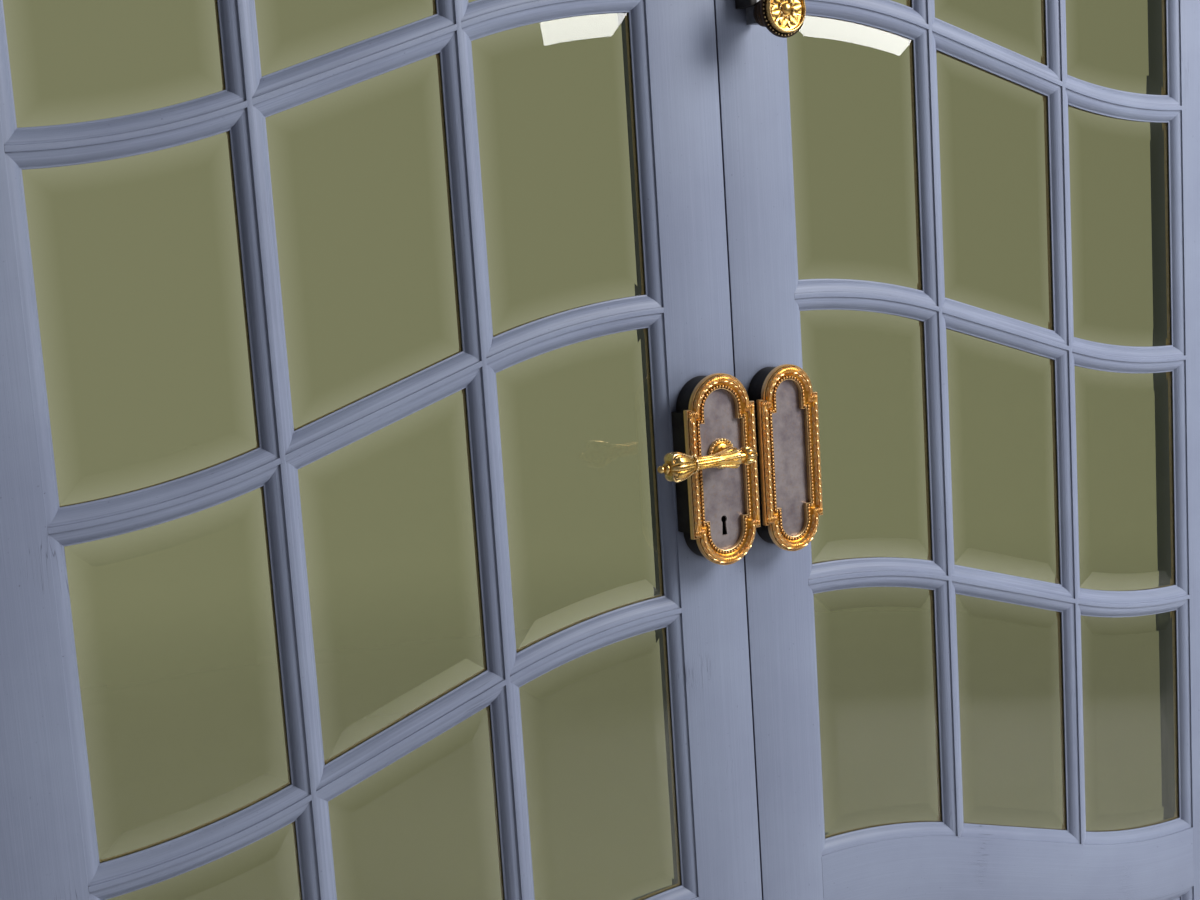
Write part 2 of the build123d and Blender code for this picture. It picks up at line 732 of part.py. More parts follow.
# Surface bolts: a square rod in a slotted case, moved by a turned knob.
def bolt_case(foot, head, slot_end):
    """A case from foot to head, slotted in front at one end for the knob's shank."""
    with BuildPart() as case:
        block((knob_x - bolt_case_width / 2, -front - bolt_case_depth, foot),
              (knob_x + bolt_case_width / 2, -front, head))
        fillet(case.faces().sort_by(Axis.Y)[0].edges().filter_by(Axis.Z), 2)
        with Locations((knob_x, rod_y, (foot + head) / 2)):
            Box(rod_hole, rod_hole, head - foot, mode=Mode.SUBTRACT)
        if slot_end:
            low = foot if slot_end < 0 else head - bolt_slot_length
            block((knob_x - rod_hole / 2, -front - bolt_case_depth, low),
                  (knob_x + rod_hole / 2, rod_y, low + bolt_slot_length), Mode.SUBTRACT)
    return case.part


def bolt_rod(foot, head, knob):
    """A square rod with the short shank that carries its knob."""
    with BuildPart() as rod:
        block((knob_x - rod_width / 2, rod_y - rod_width / 2, foot),
              (knob_x + rod_width / 2, rod_y + rod_width / 2, head))
        with BuildSketch(depth_plane(-bolt_case_depth / 2)):
            with Locations((knob_x, knob)):
                Circle(rod_width / 2)
        extrude(amount=neck_start - bolt_case_depth / 2)
    return rod.part


def bolt_knob(height):
    """A turned knob: ringed neck, beaded flange, plain rim and a dished face."""
    with BuildPart() as knob:
        with BuildSketch(Plane((knob_x, -front, height), x_dir=(0, -1, 0), z_dir=(1, 0, 0))):
            with BuildLine():
                Polyline((neck_start, 0), (neck_start, neck_radius), (neck_start + 2, neck_radius))
                ring = (knob_flange - neck_start - 2) / 4
                for n in range(3):
                    low = neck_start + 2 + n * ring
                    Polyline((low, neck_radius), (low + ring * 0.3, neck_radius + 1.2),
                             (low + ring * 0.7, neck_radius + 1.2), (low + ring, neck_radius))
                Polyline((low + ring, neck_radius), (low + ring * 1.7, neck_radius + 3),
                         (knob_flange, knob_radius - 1.5), (knob_flange + 1, knob_radius),
                         (knob_flange + 3.5, knob_radius), (knob_flange + 4.5, rim_radius),
                         (knob_flange + 8.5, rim_radius), (knob_flange + 10, rim_radius - 2.5),
                         (knob_flange + 8, rim_radius / 2), (knob_reach - 3.5, button_radius),
                         (knob_reach - 1, button_radius), (knob_reach, button_radius / 2),
                         (knob_reach, 0))
                Line((knob_reach, 0), (neck_start, 0))
            make_face()
        revolve(axis=Axis((knob_x, -front, height), (0, -1, 0)))
    return knob.part


with BuildPart() as foot_keeper:
    with Locations((knob_x, rod_y, threshold_height)):
        Box(bolt_case_width, bolt_case_depth, plate_thickness,
            align=(Align.CENTER, Align.CENTER, Align.MAX))
        Box(rod_hole, rod_hole, 2 * plate_thickness, mode=Mode.SUBTRACT)

hardware |= {
    "top_bolt_case": bolt_case(knob_height + case_over_knob, leaf_top - case_margin, -1),
    "top_bolt_rod": bolt_rod(knob_height - rod_tail, top_keeper_foot - rod_rest_gap, knob_height),
    "top_bolt_knob": bolt_knob(knob_height),
    "head_keeper": bolt_case(top_keeper_foot, top_keeper_foot + bolt_keeper_height, 0),
    "foot_bolt_case": bolt_case(foot_case_low, foot_knob_height - case_over_knob, 1),
    "foot_bolt_rod": bolt_rod(threshold_height + rod_rest_gap, foot_knob_height + rod_tail,
                              foot_knob_height),
    "foot_bolt_knob": bolt_knob(foot_knob_height),
    "foot_keeper": foot_keeper.part,
}
for name, piece in hardware.items():
    with BuildPart() as named:
        add(piece)
    named.part.label = name
    export_step(named.part, f"parts/{name}.step")
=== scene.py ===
from math import asin, ceil, cos, hypot, pi, radians, sin, sqrt, tan

import bmesh
import bpy
from mathutils import Matrix, Vector


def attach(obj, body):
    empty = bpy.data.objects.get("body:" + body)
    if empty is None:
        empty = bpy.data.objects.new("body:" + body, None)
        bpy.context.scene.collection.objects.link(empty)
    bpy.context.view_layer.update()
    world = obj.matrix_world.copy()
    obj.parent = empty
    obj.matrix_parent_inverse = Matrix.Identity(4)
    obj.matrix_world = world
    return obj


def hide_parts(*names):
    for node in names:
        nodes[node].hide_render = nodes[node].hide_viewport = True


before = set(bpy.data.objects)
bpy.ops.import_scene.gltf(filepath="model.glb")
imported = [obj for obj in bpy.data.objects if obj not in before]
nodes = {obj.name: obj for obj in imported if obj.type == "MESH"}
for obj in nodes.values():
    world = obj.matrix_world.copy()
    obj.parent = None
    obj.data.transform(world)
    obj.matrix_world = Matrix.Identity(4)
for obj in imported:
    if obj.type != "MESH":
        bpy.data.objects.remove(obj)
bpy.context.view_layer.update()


# Threshold, jambs and head: the fixed frame, softwood planed square and screwed to the wall.
# It has the doors' own coat, a grey-blue oil paint laid on with a bristle brush.
class Wire:
    """One socket of a finish. Sums on wires add Math nodes, and node() adds any other node."""

    def __init__(self, tree, socket=None):
        self.tree, self.socket = tree, socket

    def node(self, kind, sockets=(), out=0, **settings):
        made = self.tree.nodes.new("ShaderNode" + kind)
        for name, value in settings.items():
            setattr(made, name, value)
        for name, value in dict(sockets).items():
            if isinstance(value, Wire):
                self.tree.links.new(value.socket, made.inputs[name])
            else:
                made.inputs[name].default_value = value
        return Wire(self.tree, made.outputs[out])

    def math(self, operation, *values):
        """A Math node on the values given, or on this wire alone."""
        return self.node("Math", enumerate(values or (self,)), operation=operation)

    def __add__(self, other):
        return self.math("ADD", self, other)

    def __sub__(self, other):
        return self.math("SUBTRACT", self, other)

    def __rsub__(self, other):
        return self.math("SUBTRACT", other, self)

    def __mul__(self, other):
        return self.math("MULTIPLY", self, other)

    __radd__, __rmul__ = __add__, __mul__

    def fade(self, low, high):
        """0 at low, 1 at high, smooth between and flat beyond; low may be the larger."""
        places = {"Value": self, "From Min": low, "From Max": high}
        return self.node("MapRange", places, interpolation_type="SMOOTHSTEP")

    def mix(self, first, second):
        """Colour first where this wire is 0, second where it is 1."""
        return self.node("Mix", {0: self, 6: first, 7: second}, out=2, data_type="RGBA")

    def stretched(self, *scale):
        return self.node("VectorMath", {0: self, 1: scale}, operation="MULTIPLY")

    def noise(self, scale, detail=3.0, roughness=0.55, seed=0.0):
        places = {"Vector": self, "W": seed, "Scale": scale, "Detail": detail,
                  "Roughness": roughness}
        return self.node("TexNoise", places, noise_dimensions="4D")


def new_finish(name):
    """An empty material and the wire that its nodes start from."""
    material = bpy.data.materials.new(name)
    material.use_nodes = True
    return material, Wire(material.node_tree)


def close_finish(start, relief=None, height=0.001, **sockets):
    """Set the surface shader's sockets, with a relief given in metres at full value."""
    shader = start.tree.nodes["Principled BSDF"]
    if relief:
        bump = {"Height": relief, "Distance": height, "Strength": 1.0}
        sockets["Normal"] = start.node("Bump", bump)
    for name, value in sockets.items():
        target = shader.inputs[name.replace("_", " ")]
        if isinstance(value, Wire):
            start.tree.links.new(value.socket, target)
        else:
            target.default_value = value


def tone(red, green, blue):
    """A colour as it is seen, from 0 to 255, in the shader's linear numbers."""
    return tuple((c / 255 / 12.92) if c < 10.3 else ((c / 255 + 0.055) / 1.055) ** 2.4
                 for c in (red, green, blue)) + (1.0,)


def oil_paint(name, grain_axis=None, seed=0.0, streaks=0.18):
    """Brushed paint, its strokes along an axis of the row frame or along the piece's own grain."""
    material, start = new_finish(name)
    place = start.node("TexCoord", out="Object")
    if grain_axis:
        grain, along = place, "xyz".index(grain_axis)
    else:
        grain, along = start.node("Attribute", out="Vector", attribute_name="grain"), 0

    def drawn(lengthwise, crosswise):
        return grain.stretched(*[lengthwise if n == along else crosswise for n in range(3)])

    broad = place.noise(5.0, 4.0, 0.6, seed)
    stroke = drawn(7, 420).noise(1.0, 3.0, 0.6, seed)
    bristle = drawn(5, 1500).noise(1.0, 2.0, 0.6, seed + 3)
    speck = place.noise(420.0, 2.0, 0.5, seed + 5)
    hollow = start.node("AmbientOcclusion", {"Distance": 0.008}, out="AO", samples=6)
    off_crack = (drawn(9, 160).noise(1.0, 1.0, 0.4, seed + 8) - 0.5).math("ABSOLUTE")
    dry_patch = place.noise(9.0, 2.0, 0.5, seed + 9).fade(0.63, 0.70)
    crack = off_crack.fade(0.012, 0.002) * dry_patch

    thick_coat, thin_coat = tone(128, 136, 159), tone(138, 147, 169)
    stroke_light, bristle_dark = tone(166, 174, 202), tone(88, 90, 114)
    grime_and_painted_shade, crack_dark, speck_dark = tone(58, 54, 66), tone(66, 64, 80), tone(84, 82, 100)
    colour = broad.fade(0.3, 0.7).mix(thick_coat, thin_coat)
    colour = (stroke.fade(0.40, 0.72) * streaks).mix(colour, stroke_light)
    colour = (bristle.fade(0.46, 0.28) * streaks).mix(colour, bristle_dark)
    # Ambient occlusion darkens the paint in the quirks and hollows: grime, and painted shade where
    # the mouldings turn away from the light.
    colour = (hollow.fade(0.85, 0.35) * 0.75).mix(colour, grime_and_painted_shade)
    colour = (crack * 0.5).mix(colour, crack_dark)
    colour = (speck.fade(0.71, 0.75) * 0.6).mix(colour, speck_dark)
    relief = stroke * 0.6 + bristle * 0.3 + broad * 0.6 - crack * 0.9
    close_finish(start, relief, 0.00018, Base_Color=colour,
                 Roughness=0.38 + stroke * 0.14 + bristle * 0.06, Specular_IOR_Level=0.45)
    return material


def dress(node, material):
    """Give a CAD node its finish."""
    mesh = nodes[node].data
    mesh.materials.clear()
    mesh.materials.append(material)


across_paint = oil_paint("frame_paint_across", "x")
upright_paint = oil_paint("frame_paint_upright", "z", 1.0)
for name in ("threshold", "head"):
    dress(name, across_paint)
for name in ("left_jamb", "right_jamb"):
    dress(name, upright_paint)

# Stiles: the two uprights of each leaf, planed pine with a quirked ovolo run on the inner edge.
# The leaves meet on a hairline gap, and a rebate behind the moulding takes the glass.
mm = 0.001
back_depth = 44.0
face_y = -back_depth / 2
leaf_low, leaf_high = 29.0, 2142.0
meeting_arris, hinge_arris = 75.5, 635.5
ridge, ridge_step, quirk, shelf_fall = 2.5, 1.5, 0.7, 0.3
mould_half, mould_depth, fillet, ovolo_bulge = 15.0, 10.0, 1.5, 1.5
tongue, arris_round = 5.0, 0.7


def softened(points, radius):
    """A section whose corners are rounded off by a small radius."""
    least_turn, most_share = 0.35, 0.4
    soft = []
    for before, corner, after in zip([points[-1]] + points, points, points[1:] + points[:1]):
        here, back, on = Vector(corner), Vector(before), Vector(after)
        if (here - back).angle(on - here, 0.0) < least_turn:
            soft.append(corner)
            continue
        reach = min(radius, (here - back).length * most_share, (on - here).length * most_share)
        start = here + (back - here).normalized() * reach
        end = here + (on - here).normalized() * reach
        soft += [tuple(start), tuple((start + end + 2 * here) / 4), tuple(end)]
    return soft


def arc_points(start, end, rise, count):
    """Points of a flat arc between two points, bulging to the left by rise."""
    a, b = Vector(start), Vector(end)
    chord = b - a
    side = Vector((-chord.y, chord.x)).normalized()
    return [tuple(a + chord * t + side * rise * 4 * t * (1 - t))
            for t in (n / count for n in range(count + 1))]


def moulding(side):
    """Half a bar's section as (depth, offset), from the ridge to the back of the rebate."""
    quirk_end = (ridge_step + shelf_fall, ridge + quirk)
    ovolo_end = (mould_depth - fillet - shelf_fall, mould_half - fillet)
    half = [(0.0, ridge), (ridge_step, ridge)] + arc_points(quirk_end, ovolo_end, ovolo_bulge, 9)
    half += [(mould_depth - fillet, mould_half), (mould_depth, mould_half), (mould_depth, tongue)]
    return [(depth, off * side) for depth, off in half]


class Shape:
    """Faces gathered for one piece, in millimetres. Each point keeps its way along and around."""

    def __init__(self):
        self.points, self.faces, self.grain = [], [], []

    def skin(self, rows, around=True, closed=False, capped=False):
        """A skin through rows of points; closed joins the last row to the first."""
        base, count, along = len(self.points), len(rows[0]), 0.0
        for r, row in enumerate(rows):
            along += (Vector(row[0]) - Vector(rows[r - 1][0])).length if r else 0.0
            reach = 0.0
            for n, point in enumerate(row):
                reach += (Vector(point) - Vector(row[n - 1])).length if n else 0.0
                self.points.append(point)
                self.grain.append((along * mm, reach * mm, rows[0][0][0] * mm))
        for r in range(len(rows) if closed else len(rows) - 1):
            low, high = base + r * count, base + (r + 1) % len(rows) * count
            for n in range(count if around else count - 1):
                on = (n + 1) % count
                self.faces.append((low + n, low + on, high + on, high + n))
        if capped:
            self.faces.append(tuple(range(base, base + count)))
            self.faces.append(tuple(range(base + (len(rows) - 1) * count, len(self.points))))

    def made(self, name, material, body, slot_name, replaced=(), smooth=40, mirrored=False):
        """The finished object, riding on a body and standing for the CAD nodes it replaces."""
        flip = -mm if mirrored else mm
        mesh = bpy.data.meshes.new(name)
        mesh.from_pydata([(x * flip, y * mm, z * mm) for x, y, z in self.points], [], self.faces)
        grain = mesh.attributes.new("grain", "FLOAT_VECTOR", "POINT")
        for entry, way in zip(grain.data, self.grain):
            entry.vector = way
        welded = bmesh.new()
        welded.from_mesh(mesh)
        bmesh.ops.remove_doubles(welded, verts=welded.verts, dist=1e-6)
        bmesh.ops.recalc_face_normals(welded, faces=welded.faces)
        welded.to_mesh(mesh)
        welded.free()
        mesh.materials.append(material)
        mesh.shade_smooth()
        mesh.set_sharp_from_angle(angle=radians(smooth))
        piece = bpy.data.objects.new(name, mesh)
        bpy.context.scene.collection.objects.link(piece)
        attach(piece, body)
        if replaced:
            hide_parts(*replaced)


def on_both_leaves(name, slot_name, replaced, rings, material, closed=False, smooth=40):
    """Make a piece for the right leaf and its mirror image for the left."""
    shape = Shape()
    shape.skin(rings, closed=closed, capped=not closed)
    for side in ("right", "left"):
        shape.made(f"{side}_{name}", material, f"{side}_leaf", slot_name,
                   [f"{side}_{node}" for node in replaced], smooth, side == "left")


def upright_rings(section, centre, low, high):
    """A section of (depth, offset) set upright at two heights."""
    return [[(centre + off, face_y + depth, z) for depth, off in section] for z in (low, high)]


leaf_paint = oil_paint("leaf_paint", seed=2.0, streaks=0.13)
meeting_ridge, hinge_ridge = meeting_arris - ridge, hinge_arris + ridge
meeting_back, meeting_front, hinge_edge = 2.0, 0.8, 735.5
meeting_section = moulding(1) + [(back_depth, tongue), (back_depth, meeting_back - meeting_ridge),
                                 (0.0, meeting_front - meeting_ridge)]
hinge_section = moulding(-1) + [(back_depth, -tongue), (back_depth, hinge_edge - hinge_ridge),
                                (0.0, hinge_edge - hinge_ridge)]
for name, section, centre in (("meeting_stile", meeting_section, meeting_ridge),
                              ("hinge_stile", hinge_section, hinge_ridge)):
    rings = upright_rings(softened(section, arris_round), centre, leaf_low, leaf_high)
    on_both_leaves(f"{name}_dressed", "painted_wood", [name], rings, leaf_paint)

# Rails: the boards across each leaf. Their edges towards the glass are cut to the same double
# curve as the bars, with the moulding run round it, and they are tenoned into the stiles.
glass_width = hinge_arris - meeting_arris
third = glass_width / 3
slope = radians(17.31)
bend = third / sin(slope)
fall = third * (tan(slope) + 2 * tan(slope / 2))
lowest_bar, bar_pitch, bottom_row, pane_rows = 920.0, 278.5, 282.0, 5
levels = [lowest_bar - bottom_row] + [lowest_bar + bar_pitch * n for n in range(pane_rows)]
middle_rail_face, panel_foot = 73.0, 229.0
panel_level = levels[0] - middle_rail_face + 2 * ridge


def curve_places(x_from=meeting_arris, x_to=hinge_arris, step=6.0):
    """Places along the double curve: (x, drop below its start, slope angle)."""
    count = max(2, ceil((x_to - x_from) / step))
    places = []
    for n in range(count + 1):
        x = x_from + (x_to - x_from) * n / count
        s = x - meeting_arris
        if s < third:
            lean = asin(s / bend)
            drop = bend * (1 - cos(lean))
        elif s > 2 * third:
            lean = asin((glass_width - s) / bend)
            drop = fall - bend * (1 - cos(lean))
        else:
            lean = slope
            drop = bend * (1 - cos(slope)) + (s - third) * tan(slope)
        places.append((x, drop, lean))
    return places


def beside(level, place, depth, off):
    """The point beside a curve's centre line, off along its normal and depth behind the face."""
    x, drop, lean = place
    return (x + off * sin(lean), face_y + depth, level - drop + off * cos(lean))


edge_section = softened(moulding(1) + [(back_depth, tongue), (back_depth, 0.0), (0.0, 0.0)],
                        arris_round)
upper_section = [(depth, off) for depth, off in edge_section if off > ridge / 2]
lower_section = [(depth, -off) for depth, off in upper_section]
top_rings, middle_rings = [], []
for place in curve_places():
    x = place[0]
    edge = [beside(levels[-1], place, depth, off) for depth, off in lower_section]
    top_rings.append(edge + [(x, face_y + back_depth, leaf_high), (x, face_y, leaf_high)])
    upper = [beside(levels[0], place, depth, off) for depth, off in upper_section]
    lower = [beside(panel_level, place, depth, off) for depth, off in lower_section]
    middle_rings.append(upper + lower[::-1])
bottom_rings = [[(x, face_y + depth, panel_foot - ridge + off) for depth, off in upper_section]
                + [(x, face_y + back_depth, leaf_low), (x, face_y, leaf_low)]
                for x in (meeting_arris, hinge_arris)]
for name, rings in (("top_rail", top_rings), ("middle_rail", middle_rings),
                    ("bottom_rail", bottom_rings)):
    on_both_leaves(f"{name}_dressed", "painted_wood", [name], rings, leaf_paint)

# Glazing bars: moulded on both sides with a flat ridge between two quirks. The uprights run from
# rail to rail, and the double-curved bars are cut in between and scribed to their mouldings.
bar_paint = oil_paint("bar_paint", seed=4.0, streaks=0.34)
bar_depth, rail_gap = 26.0, 1.8
scribe_lap, scribe_sunk = 1.6, 0.02
upright_places = [meeting_arris + third, meeting_arris + 2 * third]
bar_section = softened(moulding(1) + [(bar_depth, tongue), (bar_depth, -tongue)]
                       + moulding(-1)[::-1], arris_round)


def curve_z(level, off, x):
    """Height at x of the line that runs beside a bar's centre line, off above it."""
    s = x - meeting_arris
    if s <= (bend + off) * sin(slope):
        return level - bend + sqrt((bend + off) ** 2 - s**2)
    if glass_width - s <= (bend - off) * sin(slope):
        return level - fall + bend - sqrt((bend - off) ** 2 - (glass_width - s) ** 2)
    return level - bend + (bend + off) * cos(slope) - (s - (bend + off) * sin(slope)) * tan(slope)


for n, x in enumerate(upright_places):
    rings = upright_rings(bar_section, x, curve_z(levels[0], 0, x) + rail_gap,
                          curve_z(levels[-1], 0, x) - rail_gap)
    on_both_leaves(f"upright_bar_{n + 1}_dressed", "painted_wood",
                   ["upright_bars"] if n == 0 else [], rings, bar_paint)
spans = [(meeting_arris, upright_places[0] - scribe_lap),
         (upright_places[0] + scribe_lap, upright_places[1] - scribe_lap),
         (upright_places[1] + scribe_lap, hinge_arris)]
for bar in range(1, pane_rows):
    for part, (x_from, x_to) in enumerate(spans):
        rings = [[beside(levels[bar], place, depth + scribe_sunk, off)
                  for depth, off in bar_section] for place in curve_places(x_from, x_to)]
        on_both_leaves(f"curved_bar_{bar}_{part + 1}_dressed", "painted_wood",
                       [f"curved_bar_{bar}"] if part == 0 else [], rings, bar_paint)

# Panes: old plate glass, olive through its thickness and not quite flat, with a wide ground bevel
# round the front. The olive is partly the glass's own tint and partly a painted reflection,
# standing in for the green surroundings the panes reflect and show through. Each is cut to its
# opening and bedded in the rebate behind the mouldings.
columns = [meeting_ridge] + upright_places + [hinge_ridge]
glass_inset, glass_depth, edge_glass = tongue + 1.5, mould_depth, 3.0
bevel_wide, bevel_high = 20.0, 2.0


def outline(row_low, row_high, left, right, inset, depth, count=22):
    """A closed outline between two curves, this far inside the lines of the bars around it."""
    xs = [left + inset + (right - left - 2 * inset) * n / count for n in range(count + 1)]
    foot = [(x, face_y + depth, row_low(inset, x)) for x in xs]
    top = [(x, face_y + depth, row_high(inset, x)) for x in xs]
    return foot + top[::-1]


def curve_above(level):
    return lambda inset, x: curve_z(level, inset, x)


def curve_below(level):
    return lambda inset, x: curve_z(level, -inset, x)


glass, start = new_finish("bevelled_glass")
drawn = start.node("TexCoord", out="Object").stretched(5, 5, 1.5).noise(1.0, 1.0, 0.3)
# The olive here, in the shadows through the glass and in its body, is partly the glass's own tint
# and partly a painted reflection of green surroundings.
close_finish(start, drawn, 0.0012, Base_Color=tone(205, 206, 186), Roughness=0.0, IOR=1.5,
             Transmission_Weight=1.0)
clear = Wire(start.tree, start.tree.nodes["Principled BSDF"].outputs["BSDF"])
shade = start.node("BsdfTransparent", {"Color": tone(190, 192, 170)})
in_shadow = start.node("LightPath", out="Is Shadow Ray")
both = start.node("MixShader", {0: in_shadow, 1: clear, 2: shade})
olive = start.node("VolumeAbsorption", {"Color": (0.43, 0.44, 0.16, 1.0), "Density": 250.0})
ends = start.tree.nodes["Material Output"].inputs
start.tree.links.new(both.socket, ends["Surface"])
start.tree.links.new(olive.socket, ends["Volume"])
pane_section = [(glass_inset, glass_depth + edge_glass), (glass_inset, glass_depth),
                (mould_half, glass_depth), (mould_half + bevel_wide, glass_depth - bevel_high)]
for column, column_name in enumerate(("meeting_panes", "middle_panes", "hinge_panes")):
    for row in range(pane_rows):
        rings = [outline(curve_above(levels[row]), curve_below(levels[row + 1]), columns[column],
                         columns[column + 1], inset, depth) for inset, depth in pane_section]
        on_both_leaves(f"{column_name}_{row + 1}_cut", "glass", [column_name] if row == 0 else [],
                       rings, glass, smooth=1)

# Beads: slips of bare wood bradded round each pane and round the panel from the back.
# They show through the glass as a pale edge.
bead_wood, start = new_finish("bead_wood")
grain = start.node("Attribute", out="Vector", attribute_name="grain")
fibre = grain.stretched(8, 700, 700).noise(1.0, 4.0, 0.6)
colour = fibre.fade(0.3, 0.7).mix(tone(196, 172, 142), tone(230, 208, 178))
close_finish(start, fibre, 0.0003, Base_Color=colour, Roughness=0.6)
bead_off, panel_edge = 0.1, 12.0
bead_section = [(tongue, bead_off), (mould_half, bead_off), (mould_half, 4.5),
                (mould_half - 1.5, 6.5), (tongue + 3.0, 11.5), (tongue, 12.0)]


def panel_low(inset, x):
    return panel_foot - ridge + inset


openings = [(f"{row + 1}_{column + 1}", curve_above(levels[row]), curve_below(levels[row + 1]),
             columns[column], columns[column + 1], glass_depth + edge_glass)
            for row in range(pane_rows) for column in range(3)]
openings.append(("panel", panel_low, curve_below(panel_level), meeting_ridge, hinge_ridge,
                 mould_depth + panel_edge))
for name, low, high, left, right, back in openings:
    rings = [outline(low, high, left, right, inset, back + depth)
             for inset, depth in bead_section]
    on_both_leaves(f"bead_{name}", "painted_wood", ["glazing_beads"] if name == "1_1" else [],
                   rings, bead_wood, closed=True)

# Lower panel: a raised and fielded board under each leaf's glass, its head cut to the rail's
# curve. It floats in the groove of the stiles and rails.
panel_section = [(glass_inset, mould_depth + panel_edge), (glass_inset, mould_depth),
                 (52.0, mould_depth), (52.6, 9.6), (53.0, 8.8), (53.4, 8.6), (67.5, 5.5),
                 (68.3, 5.1), (69.3, 5.0)]
rings = [outline(panel_low, curve_below(panel_level), meeting_ridge, hinge_ridge, inset, depth)
         for inset, depth in panel_section]
on_both_leaves("lower_panel_dressed", "painted_wood", ["lower_panel"], rings, leaf_paint,
               smooth=25)

# Hinges: brass butt hinges, three to a leaf, their pins ending in turned balls. One plate is
# screwed to the jamb, the other to the leaf's edge.
brass, start = new_finish("hinge_brass")
wear = start.node("TexCoord", out="Object").noise(160.0, 4.0, 0.6)
colour = wear.fade(0.3, 0.75).mix(tone(132, 98, 48), tone(188, 150, 84))
close_finish(start, wear, 0.0002, Base_Color=colour, Metallic=1.0, Roughness=0.34 + wear * 0.2)
for side in ("left", "right"):
    for name in ("frame_hinge_plates", "leaf_hinge_plates", "hinge_pins"):
        dress(f"{side}_{name}", brass)

# Rim lock: a box of dark bronzed brass screwed to the face of the left leaf's meeting stile, under
# a gilt cast frame. The frame has a laurel roll tied at its shoulders and a row of pearls round a
# patinated plate.
gilt, start = new_finish("gilt_bronze")
worn = start.node("TexCoord", out="Object").noise(260.0, 4.0, 0.6)
edge = start.node("NewGeometry", out="Pointiness")
hollow = start.node("AmbientOcclusion", {"Distance": 0.004}, out="AO", samples=8)
deep_gold, gold, painted_highlight, dirt_and_shade_brown = (tone(230, 138, 38), tone(255, 186, 78), tone(255, 234, 184),
                                  tone(74, 26, 8))
colour = worn.fade(0.3, 0.7).mix(deep_gold, gold)
# Pale gold on the sharp ridges, found by pointiness: a painted highlight.
colour = (edge.fade(0.51, 0.60) * 0.6).mix(colour, painted_highlight)
# Dark brown in the hollows, found by ambient occlusion: grime, and painted shade.
colour = (hollow.fade(0.80, 0.30) * 0.92).mix(colour, dirt_and_shade_brown)
close_finish(start, worn, 0.00015, Base_Color=colour, Metallic=0.86, Roughness=0.26 + worn * 0.2)


def patina(name, dark, light, glow, roughness):
    """Bronze browned by handling, cloudy over the piece."""
    material, start = new_finish(name)
    place = start.node("TexCoord", out="Object")
    cloud = place.noise(34.0, 5.0, 0.62)
    fine = place.noise(300.0, 3.0, 0.6, 4.0)
    colour = cloud.fade(0.35, 0.65).mix(dark, light)
    colour = (fine.fade(0.5, 0.75) * 0.5).mix(colour, glow)
    close_finish(start, cloud + fine * 0.6, 0.0002, Base_Color=colour, Metallic=0.75,
                 Roughness=roughness + fine * 0.15)
    return material


case_patina = patina("case_patina", tone(46, 42, 42), tone(66, 64, 62), tone(84, 74, 60), 0.5)
plate_patina = patina("plate_patina", tone(128, 118, 124), tone(168, 158, 158),
                      tone(164, 136, 112), 0.42)
bright_steel = patina("steel", tone(120, 120, 122), tone(160, 160, 162), tone(110, 100, 92), 0.3)
for name in ("lock_case", "keeper_case", "top_bolt_case", "foot_bolt_case", "head_keeper",
             "foot_keeper"):
    dress(name, case_patina)
for name in ("lock_plate", "keeper_plate"):
    dress(name, plate_patina)
for name in ("latch_bolt", "dead_bolt", "lock_spindle", "top_bolt_rod", "foot_bolt_rod"):
    dress(name, bright_steel)

lock_x, lock_z, lock_width = -39.25, 1050.0, 76.5
shoulder, half_height, end_step = 59.0, 88.5, 5.5
roll_inset, roll_stand, roll_out, roll_up = 5.0, 28.9, 3.2, 3.1
pearl_inset, pearl_stand, pearl_radius, pearl_pitch = 11.9, 28.9, 1.4, 3.3
frame_back = 24.5
frame_section = [(0.0, frame_back), (0.0, 28.6), (0.5, 29.3), (1.2, 29.3), (1.6, 28.3)]
frame_section += [(roll_inset - roll_out * cos(a), roll_stand + roll_up * sin(a))
                  for a in (radians(10 + 18 * n) for n in range(9))]
frame_section += [(8.6, 29.6), (9.3, 28.9), (10.2, 28.5), (13.3, 28.4), (13.5, 29.1),
                  (14.0, 28.9), (14.0, frame_back)]


def half_outline(half_width, inset):
    """The right half of the shouldered outline this far inside its edge, from foot to head."""
    end, crown = half_width - end_step, half_height - shoulder
    radius = (end**2 + crown**2) / (2 * crown)
    centre = half_height - radius
    ledge, reach = shoulder - inset, radius - inset
    first = asin(max(0.0, ledge - centre) / reach)
    head = [(reach * cos(a), centre + reach * sin(a))
            for a in (first + (pi / 2 - first) * n / 16 for n in range(17))]
    upper = [(half_width - inset, ledge), (head[0][0], ledge)] + head
    return [(x, -z) for x, z in upper[::-1]] + upper


def ways(path):
    """The length of a path, and a function giving place and direction at a length along it."""
    lengths = [0.0]
    for a, b in zip(path, path[1:]):
        lengths.append(lengths[-1] + hypot(b[0] - a[0], b[1] - a[1]))

    def at(s):
        n = 1
        while n < len(path) - 1 and (lengths[n] < s or lengths[n] - lengths[n - 1] < 1e-6):
            n += 1
        t = (s - lengths[n - 1]) / (lengths[n] - lengths[n - 1])
        (x0, z0), (x1, z1) = path[n - 1], path[n]
        run = hypot(x1 - x0, z1 - z0)
        return (x0 + (x1 - x0) * t, z0 + (z1 - z0) * t), ((x1 - x0) / run, (z1 - z0) / run)

    return lengths[-1], at


def ball(shape, centre, radii, sides=10, rows=6):
    """A ball or egg, radii along x, y and z, its poles cut flat."""
    pole = 0.02
    rings = [[tuple(c + r * v for c, r, v in zip(centre, radii, (
        sin(b) * cos(a), -cos(b), sin(b) * sin(a))))
        for a in (2 * pi * n / sides for n in range(sides))]
        for b in (pi * (pole + (1 - 2 * pole) * m / rows) for m in range(rows + 1))]
    shape.skin(rings, capped=True)


